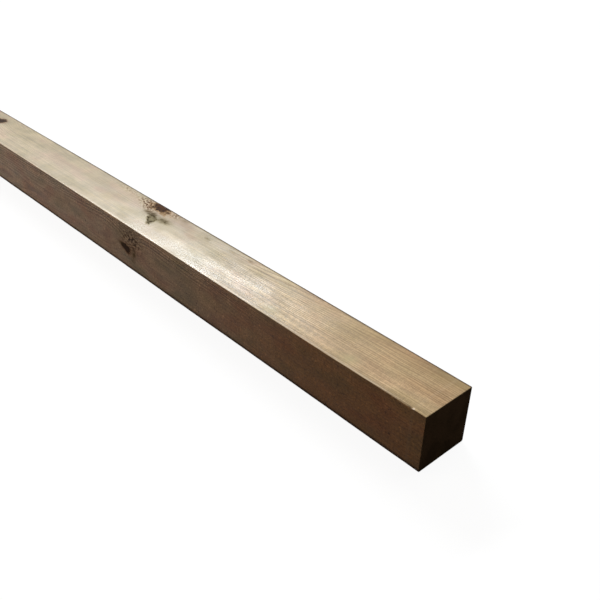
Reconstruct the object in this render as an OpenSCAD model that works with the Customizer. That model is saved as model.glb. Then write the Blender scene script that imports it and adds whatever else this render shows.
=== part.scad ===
// Square sawn timber post, pressure treated brown, lying on one of its four faces.
// Millimetres. +X runs along the post, +Z is up, and the origin is the centre of the underside.

/* [Stock] */
// Length of the post between its two sawn ends
post_length = 1800; // [1200:100:3000]
// Side of the square section
section_side = 75; // [50:1:150]
// Radius that eases the four long arrises
arris_radius = 2; // [0.5:0.1:6]

/* [Torn splinter] */
// Distance from the +X end to the step where a splinter broke off the front upper arris
splinter_from_end = 18; // [5:1:200]
// Length over which the tear runs out along the arris, away from that end
splinter_length = 60; // [15:1:300]
// Depth of the tear at the step, below the eased arris
splinter_depth = 1.2; // [0.3:0.1:3]

/* [Hidden] */
treated_brown = [0.58, 0.47, 0.33];
half_side = section_side / 2;
// How far the square's bare corner stands outside the eased arris, along the corner's bisector
corner_to_arris = arris_radius * (sqrt(2) - 1);
// The tear's cutter reaches past the bare corner and past both faces that meet there
tear_reach = corner_to_arris + arris_radius;
tear_width = 4 * (corner_to_arris + splinter_depth);
arc_sides = 96;

// The square section with its four corners eased by true arcs
module eased_square() {
    flat = section_side - 2 * arris_radius;
    square([section_side, flat], center = true);
    square([flat, section_side], center = true);
    for (side_y = [-1, 1], side_z = [-1, 1])
        translate([side_y * flat / 2, side_z * flat / 2])
            circle(r = arris_radius, $fn = arc_sides);
}

// Sawn stock: the section carried along X, with its underside at z = 0
module sawn_stock() {
    translate([-post_length / 2, 0, half_side])
        rotate([90, 0, 90])
            linear_extrude(height = post_length)
                eased_square();
}

// The wood that the splinter took: a long wedge, deepest at its step, square to the arris's bisector
module torn_splinter() {
    translate([post_length / 2 - splinter_from_end, -half_side, section_side])
        rotate([45, 0, 0])
            translate([0, 0, -corner_to_arris])
                rotate([90, 0, 0])
                    linear_extrude(height = tear_width, center = true)
                        polygon([
                            [-splinter_length, 0],
                            [0, -splinter_depth],
                            [0, tear_reach],
                            [-splinter_length, tear_reach]
                        ]);
}

module post() {
    color(treated_brown)
        difference() {
            sawn_stock();
            torn_splinter();
        }
}

post();
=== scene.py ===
"""A square sawn softwood post, treated brown, with its grain, knots and torn arris, under soft light.

The log that the post was sawn from comes first, as fields over space: growth rings about a pith that
wanders, parted by the branches that became knots. The post is one closed surface: an eased square
carried along the length and shut by two sawn ends. Every point of it takes its ring and its knot from
the log, so the lines on the faces run on into the arcs on the ends, and its stains and wear from
fields over the faces. Those fields also hold painted shade, along the back of the upper face and at
its edges, and painted highlights along the front upper arris and at the tear.
"""
import logging
import math
from dataclasses import astuple, dataclass
from enum import Enum
from functools import cached_property
from typing import NamedTuple, Optional, Union

import bpy
import numpy as np
from mathutils import Matrix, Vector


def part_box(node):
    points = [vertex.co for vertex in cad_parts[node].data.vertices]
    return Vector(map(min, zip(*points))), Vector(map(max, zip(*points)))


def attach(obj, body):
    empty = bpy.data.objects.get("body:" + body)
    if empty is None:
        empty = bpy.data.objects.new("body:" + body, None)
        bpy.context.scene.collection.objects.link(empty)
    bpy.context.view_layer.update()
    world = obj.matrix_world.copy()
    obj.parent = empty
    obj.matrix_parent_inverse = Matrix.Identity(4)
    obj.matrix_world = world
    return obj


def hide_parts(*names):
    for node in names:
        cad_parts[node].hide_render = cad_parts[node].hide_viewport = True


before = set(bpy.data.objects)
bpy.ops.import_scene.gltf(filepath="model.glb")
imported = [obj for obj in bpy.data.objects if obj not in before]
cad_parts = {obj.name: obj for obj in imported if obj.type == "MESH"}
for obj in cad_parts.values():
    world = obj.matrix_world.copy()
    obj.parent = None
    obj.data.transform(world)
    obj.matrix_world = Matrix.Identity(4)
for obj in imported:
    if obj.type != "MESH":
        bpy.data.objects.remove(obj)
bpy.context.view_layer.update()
LOW, HIGH = (np.array(corner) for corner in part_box("post"))

MM = 0.001
NEAR_END = float(HIGH[0])
LENGTH = float(HIGH[0] - LOW[0])
SIDE = float(HIGH[2] - LOW[2])
HALF = SIDE / 2
# Outward bisector of the front upper arris, as (y, z)
FRONT_BISECTOR = np.array([-1.0, 1.0]) / math.sqrt(2.0)
# Name of the UV map that the faces are laid out in, for baking the finishes into
BAKE_MAP = "OFBake"

log = logging.getLogger("post")

Socket = bpy.types.NodeSocket
Feed = Union[float, tuple, Socket]


def smooth(value: np.ndarray, low: float, high: float) -> np.ndarray:
    """Ease from 0 at low to 1 at high: three times the square of the share less twice its cube.

    Args:
        value: the numbers to ease.
        low: where the ease starts.
        high: where it ends; it may lie below low, and the ease then falls.

    Returns:
        The eased share, shaped like value.
    """
    share = np.clip((value - low) / (high - low), 0.0, 1.0)
    return share * share * (3.0 - 2.0 * share)


def bell(offset: np.ndarray, width: float) -> np.ndarray:
    """Give the bell curve exp(-(offset/width)^2), shaped like offset."""
    return np.exp(-((offset / width) ** 2))


def shade(red: int, green: int, blue: int) -> tuple[float, float, float, float]:
    """Turn a colour as a screen shows it, 0 to 255, into the linear RGBA that shaders take."""
    screen = np.array([red, green, blue]) / 255.0
    linear = np.where(screen <= 0.04045, screen / 12.92, ((screen + 0.055) / 1.055) ** 2.4)
    return (*linear.tolist(), 1.0)


def grey(value: float) -> tuple[float, float, float, float]:
    """Give the linear RGBA of a grey."""
    return (value, value, value, 1.0)


class KnotTone(Enum):
    """How a branch died or lived as the stem grew over it, as its place on the knots' colour ramps."""

    RED = 0.0
    BROWN = 0.5
    GREY = 1.0


class Cut(Enum):
    """Which way the saw met the grain, as the index of the material that dresses the cut."""

    LONG = 0
    END = 1


@dataclass(frozen=True)
class Wander:
    """A slow drift that repeats from run to run.

    The value is a sum of cosines. Each next one is shorter and weaker than the last, its phase comes
    from the seed, and the weights add up to size.

    Attributes:
        seed: seed of the phases.
        size: the most that it can reach.
        length: length of its longest wave.
        terms: how many waves it has.
        fade: weight of each wave beside the last.
        shorten: how many times shorter each wave is than the last.
    """

    seed: int
    size: float
    length: float
    terms: int = 4
    fade: float = 0.62
    shorten: float = 1.73

    def at(self, place: np.ndarray) -> np.ndarray:
        """Give the drift at each place along the post, shaped like place."""
        order = np.arange(self.terms)
        weight = self.fade**order
        turns = self.shorten**order / self.length
        phase = np.random.default_rng(self.seed).uniform(0.0, math.tau, self.terms)
        angle = math.tau * turns * np.asarray(place)[..., None] + phase
        return self.size * (weight * np.cos(angle)).sum(-1) / weight.sum()


@dataclass(frozen=True)
class Branch:
    """A branch that the stem grew over and the saw cut through.

    Attributes:
        setback: distance of the knot's middle from the near end.
        y: place of the knot's middle across the post.
        z: its height above the underside.
        radius: its half width across the grain, where it comes out.
        stretch: how many times longer it is along the grain than across it.
        tone: its colour.
        lean: how far the knot slides towards the near end for each step across the grain.
        taper: how much wider it grows along the grain, as a share, across one radius.
    """

    setback: float
    y: float
    z: float
    radius: float
    stretch: float
    tone: KnotTone
    lean: float = 0.0
    taper: float = 0.0


@dataclass(frozen=True)
class Grain:
    """What the log holds at each point of a surface.

    Attributes:
        ring: growth rings counted out from the pith.
        knot: distance from the nearest knot's middle, in that knot's own radii.
        tone: tone of the knots that are near, weighed by nearness.
    """

    ring: np.ndarray
    knot: np.ndarray
    tone: np.ndarray


@dataclass(frozen=True)
class Log:
    """The stem that the post was sawn from.

    Attributes:
        pith_y: mean place of the pith across the post, a little outside its back face.
        pith_z: mean height of the pith above the underside.
        sway: how far the pith rises and falls along the post.
        sway_length: length of one such rise and fall.
        sway_start: setback at which the pith passes its mean height, rising.
        ring_width: mean width of a growth ring.
        ring_beats: waves that crowd and spread the rings, as (rings, distance from crest to crest).
        lobes: how many times the rings bulge round the pith.
        lobe_height: how far they bulge.
        lobe_length: length in which the bulges wind round by one of their own.
        drift: how the rings' radius wanders along the post.
        whorl_swell: share by which the rings crowd outwards at a whorl of branches.
        whorl_reach: how far along the grain a whorl does that.
        whorls: setbacks of the whorls.
        least_girth: radius of a branch at the pith, as a share of its radius where it comes out.
        most_girth: the most that this share can be, past that place.
        no_knot: distance in a knot's radii that stands for no knot.
        nearness: how fast a knot's weight falls off with that distance.
        branches: every branch that meets the post.
    """

    pith_y: float = 42.5 * MM
    pith_z: float = 24.0 * MM
    sway: float = 9.0 * MM
    sway_length: float = 1.25
    sway_start: float = 0.24
    ring_width: float = 1.6 * MM
    ring_beats: tuple[tuple[float, float], ...] = ((0.5, 21.0 * MM), (0.2, 8.0 * MM))
    lobes: float = 3.0
    lobe_height: float = 0.7 * MM
    lobe_length: float = 0.9
    drift: Wander = Wander(5, 0.5 * MM, 0.35)
    whorl_swell: float = 0.05
    whorl_reach: float = 38.0 * MM
    whorls: tuple[float, ...] = (0.556, 1.062, 1.518)
    least_girth: float = 0.25
    most_girth: float = 1.2
    no_knot: float = 9.0
    nearness: float = 2.5
    branches: tuple[Branch, ...] = (
        Branch(0.565, 34.0 * MM, 75.0 * MM, 10.5 * MM, 1.45, KnotTone.RED, 0.45, 0.35),
        Branch(0.543, -0.5 * MM, 75.0 * MM, 6.5 * MM, 1.25, KnotTone.GREY, 0.8, -0.3),
        Branch(0.558, -37.5 * MM, 32.0 * MM, 6.2 * MM, 1.4, KnotTone.BROWN, 0.7, -0.35),
        Branch(0.560, 6.0 * MM, 0.0 * MM, 7.0 * MM, 1.6, KnotTone.BROWN),
        Branch(1.070, 12.0 * MM, 75.0 * MM, 7.0 * MM, 1.7, KnotTone.BROWN),
        Branch(1.052, -37.5 * MM, 52.0 * MM, 6.5 * MM, 1.6, KnotTone.RED),
        Branch(1.066, -8.0 * MM, 0.0 * MM, 8.0 * MM, 1.7, KnotTone.RED),
        Branch(1.512, -14.0 * MM, 75.0 * MM, 8.0 * MM, 1.6, KnotTone.RED),
        Branch(1.524, -37.5 * MM, 20.0 * MM, 7.5 * MM, 1.8, KnotTone.BROWN),
        Branch(1.520, 20.0 * MM, 0.0 * MM, 6.0 * MM, 1.6, KnotTone.GREY),
    )

    def pith_at(self, setback: np.ndarray) -> np.ndarray:
        """Give the pith's height: its mean plus a sine of the setback."""
        return self.pith_z + self.sway * np.sin(math.tau * (setback - self.sway_start) / self.sway_length)

    def sample(self, points: np.ndarray) -> Grain:
        """Read the log at points in the post's frame.

        Each branch runs straight out from the pith and widens as it goes. Beside it the growth layers
        part as a stream parts round a pile: a layer's offset to the branch's side shrinks by
        1 - 1/d^2, where d is the distance from the branch's axis in its own radii. The ring is then
        the distance from the pith, bent by slow waves, over the ring width.

        Args:
            points: array of points, with x, y and z on its last axis.

        Returns:
            The grain at each point.
        """
        setback = NEAR_END - points[..., 0]
        out_y = points[..., 1] - self.pith_y
        out_z = points[..., 2] - self.pith_at(setback)
        faint = 1e-6
        knot = np.full(setback.shape, self.no_knot)
        weight = np.full(setback.shape, faint)
        tone = np.full(setback.shape, KnotTone.BROWN.value * faint)
        bent_y, bent_z = out_y.copy(), out_z.copy()
        for branch in self.branches:
            away = np.array([branch.y - self.pith_y, branch.z - self.pith_at(np.array(branch.setback))])
            reach = float(np.hypot(*away))
            aim_y, aim_z = away / reach
            out = out_y * aim_y + out_z * aim_z
            across = out_z * aim_y - out_y * aim_z
            radius = branch.radius * np.clip(out / reach, self.least_girth, self.most_girth)
            side = np.clip(across / radius, -1.0, 1.0)
            along = (setback - branch.setback + branch.lean * across) / branch.stretch
            apart = np.hypot(along / (1.0 + branch.taper * side), across) / radius
            apart = np.where(out > 0.0, apart, self.no_knot)
            shift = -across / np.maximum(apart, 1.0) ** 2 * smooth(out, 0.0, reach / 2)
            bent_y -= shift * aim_z
            bent_z += shift * aim_y
            near = np.exp(-self.nearness * np.minimum(apart, self.no_knot))
            weight += near
            tone += near * branch.tone.value
            knot = np.minimum(knot, apart)
        swell = sum(bell(setback - whorl, self.whorl_reach) for whorl in self.whorls)
        radius = np.hypot(bent_y, bent_z) * (1.0 + self.whorl_swell * swell)
        bearing = np.arctan2(bent_z, bent_y)
        lobe = np.sin(self.lobes * bearing + math.tau * setback / self.lobe_length)
        radius = radius + self.lobe_height * lobe + self.drift.at(setback)
        count = radius / self.ring_width
        for rings, distance in self.ring_beats:
            count = count + rings * np.sin(math.tau * radius / distance)
        return Grain(count, knot, tone / weight)


@dataclass(frozen=True)
class Splinter:
    """The sliver that tore off the front upper arris.

    Attributes:
        from_end: distance from the near end to the step where the tear stops.
        length: how far it runs out along the arris, away from that end.
        depth: its depth at the step, below the eased arris.
        step: length over which the torn floor climbs back to the arris at the step.
        fibre: how the torn floor's fibres rise and fall.
        fibre_depth: depth past which those fibres show.
    """

    from_end: float = 18.0 * MM
    length: float = 60.0 * MM
    depth: float = 1.2 * MM
    step: float = 1.6 * MM
    fibre: Wander = Wander(23, 0.12 * MM, 0.012)
    fibre_depth: float = 0.05 * MM

    def depth_at(self, setback: np.ndarray) -> np.ndarray:
        """Give the tear's depth: it climbs within the step, then falls evenly to nothing."""
        run = (setback - self.from_end) / self.length
        rise = smooth(setback, self.from_end - self.step / 2, self.from_end + self.step / 2)
        return self.depth * rise * np.clip(1.0 - run, 0.0, 1.0)


@dataclass(frozen=True)
class Crown:
    """How the upper face, sawn flat while wet, dried to a slight crown.

    Attributes:
        tilt: slope of the face at its front edge, from an even bend across the whole width.
        ridge: where that bend is level, as a share of the width from the front.
        lip_tilt: slope added at the front edge, which dies away from there.
        lip_reach: distance in which that added slope falls to about a third.
        full: setback from which the crown is whole. It grows from nothing at the near end.
    """

    tilt: float = 0.03
    ridge: float = 0.8
    lip_tilt: float = 0.03
    lip_reach: float = 22.0 * MM
    full: float = 0.16

    def height(self, from_front: np.ndarray) -> np.ndarray:
        """Integrate the slope from the front edge: a parabola plus an exponential rise."""
        even = self.tilt * (from_front - from_front**2 / (2.0 * self.ridge * SIDE))
        return even + self.lip_tilt * self.lip_reach * (1.0 - np.exp(-from_front / self.lip_reach))

    def drop(self, setback: np.ndarray, from_front: np.ndarray) -> np.ndarray:
        """Give how far the face lies below its ridge.

        The crown is the ridge's height less the height here, and it fades out towards the near end.

        Args:
            setback: distances from the near end.
            from_front: distances from the front face, shaped to broadcast with setback.

        Returns:
            The drops.
        """
        ridge = self.height(np.linspace(0.0, SIDE, 301)).max()
        return (ridge - self.height(from_front)) * smooth(setback, 0.0, self.full)


class Ease(NamedTuple):
    """A smooth change of a number.

    Attributes:
        low: where it begins. It may lie above high.
        high: where it is whole.
        start: the number at low.
        end: the number at high.
    """

    low: float
    high: float
    start: float = 0.0
    end: float = 1.0


@dataclass(frozen=True)
class Mottle:
    """A noise in the wood.

    Attributes:
        stretch: about how often it repeats in a metre along x, y and z.
        detail: how many finer layers it has.
        ease: what the noise is turned into where it isn't used as it is.
        roughness: how strong each finer layer is beside the last.
    """

    stretch: tuple[float, float, float]
    detail: float
    ease: Ease = Ease(0.3, 0.7)
    roughness: float = 0.55


class Graph:
    """Short calls that wire one node tree."""

    def __init__(self, tree: bpy.types.NodeTree) -> None:
        """Start with the tree emptied."""
        self.tree = tree
        self.noises: dict[Mottle, Socket] = {}
        tree.nodes.clear()

    @cached_property
    def where(self) -> Socket:
        """Give the point's place in the object's own frame, in metres."""
        return self.node("TexCoord").outputs["Object"]

    def node(self, kind: str, feeds: Optional[dict[Union[str, int], Feed]] = None,
             **settings) -> bpy.types.Node:
        """Add a node.

        Args:
            kind: the node's type name, without its ShaderNode prefix.
            feeds: what each input takes, by name or index: a value, or a socket to link from.
            **settings: properties set on the node itself.

        Returns:
            The new node.
        """
        node = self.tree.nodes.new("ShaderNode" + kind)
        for name, value in settings.items():
            setattr(node, name, value)
        for name, feed in (feeds or {}).items():
            if isinstance(feed, Socket):
                self.tree.links.new(feed, node.inputs[name])
            else:
                node.inputs[name].default_value = feed
        return node

    def sum(self, operation: str, first: Feed, second: Feed = 0.0) -> Socket:
        """Do one step of arithmetic, named as the Math node names it, on two numbers."""
        return self.node("Math", {0: first, 1: second}, operation=operation).outputs[0]

    def plus(self, first: Feed, second: Feed) -> Socket:
        """Add two numbers."""
        return self.sum("ADD", first, second)

    def times(self, first: Feed, second: Feed) -> Socket:
        """Multiply two numbers."""
        return self.sum("MULTIPLY", first, second)

    def most(self, first: Feed, second: Feed) -> Socket:
        """Give the greater of two numbers."""
        return self.sum("MAXIMUM", first, second)

    def ease(self, value: Feed, ease: Ease) -> Socket:
        """Put a number through an ease."""
        feeds = dict(zip(("From Min", "From Max", "To Min", "To Max"), ease), Value=value)
        return self.node("MapRange", feeds, interpolation_type="SMOOTHSTEP").outputs["Result"]

    def mix(self, share: Feed, first: Feed, second: Feed, blend: str = "MIX") -> Socket:
        """Mix two colours, with share of the second."""
        node = self.node("Mix", {0: share, 6: first, 7: second}, data_type="RGBA", blend_type=blend)
        return node.outputs[2]

    def tint(self, colour: Feed, value: Feed) -> Socket:
        """Multiply a colour by a number or by another colour."""
        return self.mix(1.0, colour, value, "MULTIPLY")

    def blend(self, share: Feed, first: Feed, second: Feed) -> Socket:
        """Mix two numbers, with share of the second."""
        return self.node("Mix", {0: share, 2: first, 3: second}, data_type="FLOAT").outputs[0]

    def ramp(self, place: Feed, stops: list[tuple[float, tuple]]) -> Socket:
        """Look a number up on a ramp of colours, given as (place, colour) stops."""
        node = self.node("ValToRGB", {"Fac": place})
        elements = node.color_ramp.elements
        while len(elements) < len(stops):
            elements.new(0.5)
        for element, (position, colour) in zip(elements, stops):
            element.position = position
            element.color = colour
        return node.outputs["Color"]

    def noise(self, mottle: Mottle) -> Socket:
        """Give a mottle's noise as it is, about 0.5, from one node however often it is used."""
        if mottle not in self.noises:
            scaled = self.node("VectorMath", {0: self.where, 1: mottle.stretch}, operation="MULTIPLY")
            self.noises[mottle] = self.node("TexNoise", {
                "Vector": scaled.outputs[0],
                "Scale": 1.0,
                "Detail": mottle.detail,
                "Roughness": mottle.roughness,
            }).outputs["Fac"]
        return self.noises[mottle]

    def eased(self, mottle: Mottle) -> Socket:
        """Give a mottle's noise put through its ease."""
        return self.ease(self.noise(mottle), mottle.ease)

    def attribute(self, name: str) -> bpy.types.Node:
        """Read an attribute of the mesh."""
        return self.node("Attribute", attribute_name=name)

    def number(self, name: str) -> Socket:
        """Read an attribute of one number."""
        return self.attribute(name).outputs["Fac"]

    def parts(self, name: str) -> tuple[Socket, ...]:
        """Read an attribute of three numbers and give them one by one."""
        return tuple(self.node("SeparateXYZ", {0: self.attribute(name).outputs["Vector"]}).outputs)

    def bump(self, height: Feed, strength: Feed, depth: float) -> Socket:
        """Bend the normal by a relief, given its heights and the distance they stand for."""
        feeds = {"Height": height, "Strength": strength, "Distance": depth}
        return self.node("Bump", feeds).outputs["Normal"]

    def surface(self, colour: Feed, rough: Feed, specular: float, normal: Feed) -> None:
        """Wire the shader of a wood and the tree's output."""
        shader = self.node("BsdfPrincipled", {
            "Base Color": colour,
            "Roughness": rough,
            "Specular IOR Level": specular,
            "Normal": normal,
        })
        self.node("OutputMaterial", {"Surface": shader.outputs[0]})


def new_material(name: str) -> tuple[bpy.types.Material, Graph]:
    """Make an empty material, and give it with the graph of its nodes."""
    material = bpy.data.materials.new(name)
    material.use_nodes = True
    return material, Graph(material.node_tree)


@dataclass(frozen=True)
class WoodTone:
    """Colours of a long face.

    Attributes:
        early: the pale early wood of a growth ring.
        late: its dark late wood.
        warm: what the early wood turns to where the treatment drifts warm.
        olive: what it turns to where the treatment drifts olive.
    """

    early: tuple
    late: tuple
    warm: tuple
    olive: tuple


@dataclass(frozen=True)
class KnotLook:
    """Looks of the knots: a stained halo, the core and the dark, broken rim round it.

    Colours stand in the order of KnotTone. The eases of a knot's parts run over the distance from its
    middle, in its own radii.

    Attributes:
        core_colours: a knot's middle.
        rim_colours: the dark ring round it.
        halo_colours: the stained wood round that.
        wobble: how far noise shifts a knot's edge, in the knot's radii.
        turns: dark turns in one radius of a knot.
        turn_share: how much of the rim's colour they take, by the place within a turn.
        halo: where the stained wood shows.
        core: where the middle shows.
        rim_inside: where the dark ring starts.
        rim_outside: where it ends.
        cover: where a knot covers the wood.
        edge: raggedness of a knot.
        gaps: gaps in its dark ring.
    """

    core_colours: tuple = (shade(70, 40, 10), shade(44, 25, 12), shade(138, 128, 100))
    rim_colours: tuple = (shade(36, 14, 0), shade(36, 20, 9), shade(50, 39, 12))
    halo_colours: tuple = (shade(150, 108, 66), shade(106, 68, 42), shade(160, 152, 124))
    wobble: float = 2.2
    turns: float = 4.0
    turn_share: Ease = Ease(0.4, 0.9, 0.0, 0.35)
    halo: Ease = Ease(2.4, 0.9, 0.0, 0.6)
    core: Ease = Ease(1.34, 0.72)
    rim_inside: Ease = Ease(0.35, 0.8)
    rim_outside: Ease = Ease(1.35, 0.95)
    cover: Ease = Ease(1.7, 1.0)
    edge: Mottle = Mottle((110.0, 150.0, 150.0), 4.0, roughness=0.75)
    gaps: Mottle = Mottle((140.0, 190.0, 190.0), 2.0, Ease(0.38, 0.56, 0.25, 1.0))

    def lay(self, graph: Graph, colour: Socket) -> tuple[Socket, Socket]:
        """Lay the knots over the wood.

        Args:
            graph: the tree to wire.
            colour: the wood's colour.

        Returns:
            The colour with the knots on it, and the share of each point that a knot covers.
        """
        tone = graph.number("tone")
        core, dark, halo = (
            graph.ramp(tone, [(knot.value, paint) for knot, paint in zip(KnotTone, colours)])
            for colours in (self.core_colours, self.rim_colours, self.halo_colours)
        )
        ragged = graph.sum("SUBTRACT", graph.noise(self.edge), 0.5)
        apart = graph.plus(graph.number("knot"), graph.times(ragged, self.wobble))
        colour = graph.mix(graph.ease(apart, self.halo), colour, halo)
        turns = graph.sum("FRACT", graph.times(apart, self.turns))
        core = graph.mix(graph.ease(turns, self.turn_share), core, dark)
        colour = graph.mix(graph.ease(apart, self.core), colour, core)
        rim = graph.times(graph.ease(apart, self.rim_inside), graph.ease(apart, self.rim_outside))
        colour = graph.mix(graph.times(rim, graph.eased(self.gaps)), colour, dark)
        return colour, graph.ease(apart, self.cover)


@dataclass(frozen=True)
class TornLook:
    """Looks of the torn grain beside the knots: a warm ground with dark specks.

    Attributes:
        specks: the specks, on brown and on pale wood.
        ground: the wood between them, on brown and on pale wood.
        ground_share: how much of the ground's colour the wood takes.
        off_knot: how thickly the specks lie, by how far a knot covers the wood.
        scatter: where the specks lie.
    """

    specks: tuple = (shade(48, 32, 22), shade(78, 48, 24))
    ground: tuple = (shade(190, 160, 130), shade(200, 172, 136))
    ground_share: float = 0.3
    off_knot: Ease = Ease(0.6, 1.0, 1.0, 0.0)
    scatter: Mottle = Mottle((250.0, 360.0, 360.0), 2.0, Ease(0.46, 0.55))

    def lay(self, graph: Graph, colour: Socket, flecks: Socket, bleach: Socket,
            cover: Socket) -> tuple[Socket, Socket]:
        """Speckle the torn grain.

        Args:
            graph: the tree to wire.
            colour: the wood's colour.
            flecks: how torn the grain is.
            bleach: share of the pale colours.
            cover: share of each point that a knot covers.

        Returns:
            The colour with the specks on it, and the share of each point that a speck covers.
        """
        flecks = graph.times(flecks, graph.ease(cover, self.off_knot))
        ground = graph.mix(bleach, *self.ground)
        colour = graph.mix(graph.times(flecks, self.ground_share), colour, ground)
        specks = graph.times(graph.eased(self.scatter), flecks)
        return graph.mix(specks, colour, graph.mix(bleach, *self.specks)), specks


@dataclass(frozen=True)
class LongGrain:
    """Finish of the four long faces: growth rings, fibres, stain, knots and a dull sheen.

    Attributes:
        knots: looks of the knots.
        torn: looks of the torn grain beside them.
        brown: colours where the treatment kept its brown.
        red: colours towards the ends, which drank more of the treatment.
        pale: colours where light and weather bleached it.
        golden: the same towards the ends.
        stain: the dark seep round the grey knot and beside the front one.
        painted_shade: share of each colour that the painted shade on the upper face lets through, a
            little yellow.
        fresh_and_highlight: pale colour of the wood laid bare by the tear, partly a painted glint there,
            and of the painted highlight along the front upper arris.
        darkened: painted shade along the back upper arris and the foot of both sides, and the dark spot
            in the tear.
        specular: strength of the sheen.
        polish: how much lower the roughness is where the wood is rubbed smooth.
        matt: roughness of knots, of specks, of the seep and of the painted shade at the edges.
        olive_share: how much of its olive a stain takes.
        ring_tones: how dark a ring is from its spring to its autumn, as (place, share).
        ring_mean: that share where the rings hardly show.
        ring_wobble: how far noise shifts a ring's edge, in rings.
        drift_share: how strong the treatment's drifts are, by how much the wood drank.
        warm_drift: where the treatment drifts warm.
        olive_drift: where it drifts olive.
        pale_nicks: what the pale nicks add to the colour's value.
        dark_nicks: what the dark nicks take from it.
        on_brown: share of the nicks and mottling, by how bleached the wood is.
        fibre_rough: what the fibres add to the roughness.
        heights: height of the late wood, the fibres and the saw's strokes in the relief.
        relief_strength: how strong the relief is, by how plainly the rings show.
        relief_depth: distance that the relief's heights stand for.
        dullness: roughness of wood that isn't rubbed smooth.
        fibre: fine fibres.
        saw: strokes of the saw.
        ring_edge: raggedness of the rings.
        ring_strength: how plainly stretches of a ring show.
        bleach_patch: patches that were bleached less.
        drift: drifts of the treatment.
        comb: broken lines along the fibres.
        grit: grit in those lines.
        streak: broader streaks.
        blotch: blotches.
        nicks: small nicks.
        fine_mottle: fine mottling of brown wood.
        broad_mottle: its broad mottling.
        seep_edge: raggedness of the seep.
    """

    knots: KnotLook = KnotLook()
    torn: TornLook = TornLook()
    brown: WoodTone = WoodTone(
        shade(165, 140, 112), shade(84, 63, 46), shade(154, 116, 92), shade(130, 117, 88))
    red: WoodTone = WoodTone(
        shade(146, 109, 73), shade(86, 58, 38), shade(142, 90, 60), shade(116, 98, 62))
    pale: WoodTone = WoodTone(
        shade(190, 174, 140), shade(130, 108, 76), shade(197, 170, 144), shade(170, 157, 116))
    golden: WoodTone = WoodTone(
        shade(198, 174, 137), shade(135, 106, 72), shade(199, 165, 130), shade(180, 160, 116))
    stain: tuple = shade(58, 46, 16)
    painted_shade: tuple = (0.75, 0.725, 0.63, 1.0)
    fresh_and_highlight: tuple = shade(252, 238, 220)
    darkened: tuple = shade(56, 45, 40)
    specular: float = 0.0525
    polish: float = 0.13
    matt: float = 0.85
    olive_share: float = 0.8
    ring_tones: tuple = ((0.0, 0.0), (0.35, 0.05), (0.70, 0.55), (0.88, 1.0), (1.0, 0.0))
    ring_mean: float = 0.3
    ring_wobble: float = 0.5
    drift_share: Ease = Ease(0.0, 1.0, 0.75, 0.45)
    warm_drift: Ease = Ease(0.50, 0.66)
    olive_drift: Ease = Ease(0.50, 0.34)
    pale_nicks: Ease = Ease(0.61, 0.72, 0.0, 0.65)
    dark_nicks: Ease = Ease(0.39, 0.28, 0.0, -0.50)
    on_brown: Ease = Ease(0.2, 0.6, 1.0, 0.0)
    fibre_rough: Ease = Ease(0.3, 0.7, -0.02, 0.03)
    heights: tuple[float, float, float] = (0.5, 0.6, 0.35)
    relief_strength: Ease = Ease(0.0, 1.0, 0.12, 0.36)
    relief_depth: float = 0.2 * MM
    dullness: Mottle = Mottle((22.0, 64.0, 64.0), 3.0, Ease(0.3, 0.7, 0.32, 0.42))
    fibre: Mottle = Mottle((6.0, 560.0, 560.0), 4.0, Ease(0.25, 0.75, 0.86, 1.12), 0.6)
    saw: Mottle = Mottle((230.0, 14.0, 14.0), 2.0, Ease(0.3, 0.7, 0.95, 1.04))
    ring_edge: Mottle = Mottle((9.0, 160.0, 160.0), 2.0)
    ring_strength: Mottle = Mottle((4.0, 40.0, 40.0), 1.0, Ease(0.3, 0.7, 0.55, 1.0))
    bleach_patch: Mottle = Mottle((7.0, 26.0, 26.0), 3.0, Ease(0.35, 0.65, -0.22, 0.0))
    drift: Mottle = Mottle((16.0, 34.0, 34.0), 1.5)
    comb: Mottle = Mottle((6.0, 400.0, 400.0), 2.0, Ease(0.40, 0.60, -0.16, 0.13))
    grit: Mottle = Mottle((330.0, 560.0, 560.0), 1.0, Ease(0.3, 0.7, -0.16, 0.16))
    streak: Mottle = Mottle((3.0, 130.0, 130.0), 3.0, Ease(0.3, 0.7, 0.965, 1.035))
    blotch: Mottle = Mottle((34.0, 60.0, 60.0), 3.0, Ease(0.3, 0.7, 0.92, 1.08))
    nicks: Mottle = Mottle((190.0, 150.0, 150.0), 3.0, roughness=0.65)
    fine_mottle: Mottle = Mottle((330.0, 560.0, 560.0), 2.0, Ease(0.3, 0.7, -0.22, 0.22))
    broad_mottle: Mottle = Mottle((45.0, 80.0, 80.0), 2.0, Ease(0.3, 0.7, -0.06, 0.06))
    seep_edge: Mottle = Mottle((170.0, 260.0, 260.0), 2.0, Ease(0.36, 0.56, 0.6, 1.0))

    def material(self) -> bpy.types.Material:
        """Wire the finish.

        Returns:
            The material.
        """
        material, graph = new_material("treated_long_grain")
        bleach, contrast, edge = graph.parts("wear")
        gloss, soak, painted_shade = graph.parts("film_and_shade")
        olive, flecks, fresh_and_highlight = graph.parts("marks")
        late = self.latewood(graph, contrast)
        colour = self.tinted(graph, bleach, soak, late)
        colour = self.lined(graph, colour, contrast)
        colour = self.scuffed(graph, colour, bleach)
        # Painted shade, darker and a little yellower, along the back of the upper face and beyond the
        # knots
        colour = graph.mix(painted_shade, colour, graph.tint(colour, self.painted_shade))
        colour, cover = self.knots.lay(graph, colour)
        colour = graph.mix(graph.times(olive, self.olive_share), colour, self.pale.olive)
        seep = graph.times(graph.number("seep"), graph.eased(self.seep_edge))
        colour = graph.mix(seep, colour, self.stain)
        colour, specks = self.torn.lay(graph, colour, flecks, bleach, cover)
        # Painted shade: dark lines along the back upper arris and the foot of both sides, and a dark spot
        # in the tear
        colour = graph.mix(edge, colour, self.darkened)
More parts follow.
